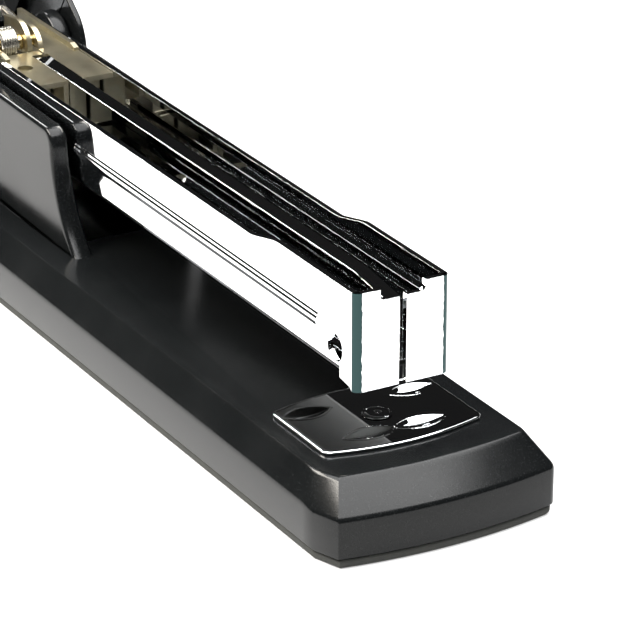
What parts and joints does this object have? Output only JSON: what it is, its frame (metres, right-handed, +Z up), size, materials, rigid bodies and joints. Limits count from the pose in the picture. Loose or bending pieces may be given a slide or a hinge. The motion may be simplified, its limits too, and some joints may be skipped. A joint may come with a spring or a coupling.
{
  "type": "full-strip desk stapler",
  "caption": "Desk stapler standing open: long base with turning anvil, sprung open-topped magazine with core rail and sliding pusher, and a cover with driver blade hinged at the rear.",
  "frame": {"origin": "middle of the underside of the sole, where the stapler stands on a desk", "axes": "+X along the length towards the mouth, +Y across to the far side, +Z up"},
  "size_m": [0.2508, 0.0354, 0.1086],
  "materials": {
    "black_plastic": "satin, fine spark grain",
    "sole_rubber": "matt",
    "zinc_plate": "satin zinc plating",
    "bright_steel": "bright",
    "spring_steel": "bright drawn wire and strip",
    "chrome_sheet": "mirror plated",
    "yellow_zinc": "olive-yellow passivated zinc",
    "brass": "turned, bright"
  },
  "bodies": {
    "base": {"base_shell": "black_plastic", "sole_pad": "sole_rubber", "base_plate": "zinc_plate", "plate_screws": "bright_steel", "hinge_pin": "bright_steel", "pin_clip": "spring_steel", "hinge_washers": "bright_steel", "lift_spring": "spring_steel", "lift_spring_rivets": "bright_steel", "anvil_spring": "spring_steel"},
    "anvil_lifter": {"anvil_stud": "chrome_sheet", "anvil_button": "black_plastic"},
    "anvil": {"anvil_plate": "chrome_sheet"},
    "magazine": {"magazine_channel": "chrome_sheet", "core_rail": "chrome_sheet", "rail_bracket": "yellow_zinc", "bracket_rivets": "yellow_zinc", "spring_post": "bright_steel", "guide_pin": "brass", "guide_sleeve": "brass", "cover_spring": "spring_steel", "feed_spring": "spring_steel"},
    "pusher": {"pusher": "yellow_zinc", "pusher_hook": "bright_steel", "retract_spring": "spring_steel"},
    "cover": {"cover_shell": "black_plastic", "cover_liner": "black_plastic", "liner_screws": "bright_steel", "driver_blade": "spring_steel", "driver_rivets": "bright_steel", "hold_down_spring": "spring_steel", "hold_down_rivet": "bright_steel", "spring_anchor": "zinc_plate", "finger_pad": "sole_rubber"}
  },
  "joints": [
    {"name": "magazine_press", "type": "hinge", "parent": "base", "child": "magazine", "pos_m": [-0.058, 0, 0.027], "axis": [0, 1, 0], "range_deg": [0, 2.7], "stiffness_Nm_per_rad": 0.6, "springref_deg": -17.19, "deforming": ["lift_spring"]},
    {"name": "cover_swing", "type": "hinge", "parent": "magazine", "child": "cover", "pos_m": [-0.058, 0, 0.027], "axis": [0, 1, 0], "range_deg": [0, 143], "deforming": ["cover_spring"]},
    {"name": "pusher_slide", "type": "slide", "parent": "magazine", "child": "pusher", "axis": [1, 0, 0], "range_m": [0, 0.1], "deforming": ["feed_spring", "retract_spring"]},
    {"name": "anvil_lift", "type": "slide", "parent": "base", "child": "anvil_lifter", "axis": [0, 0, -1], "range_m": [-0.0008, 0], "stiffness_N_per_m": 400, "springref_m": 0.002, "deforming": ["anvil_spring"]},
    {"name": "anvil_turn", "type": "hinge", "parent": "anvil_lifter", "child": "anvil", "pos_m": [0.06232, 0, 0.0115], "axis": [0, 0, 1], "range_deg": [0, 180]}
  ],
  "couplings": [
    {"joint": "pusher_slide", "follows": "cover_swing", "m_per_rad": 0.04004}
  ]
}
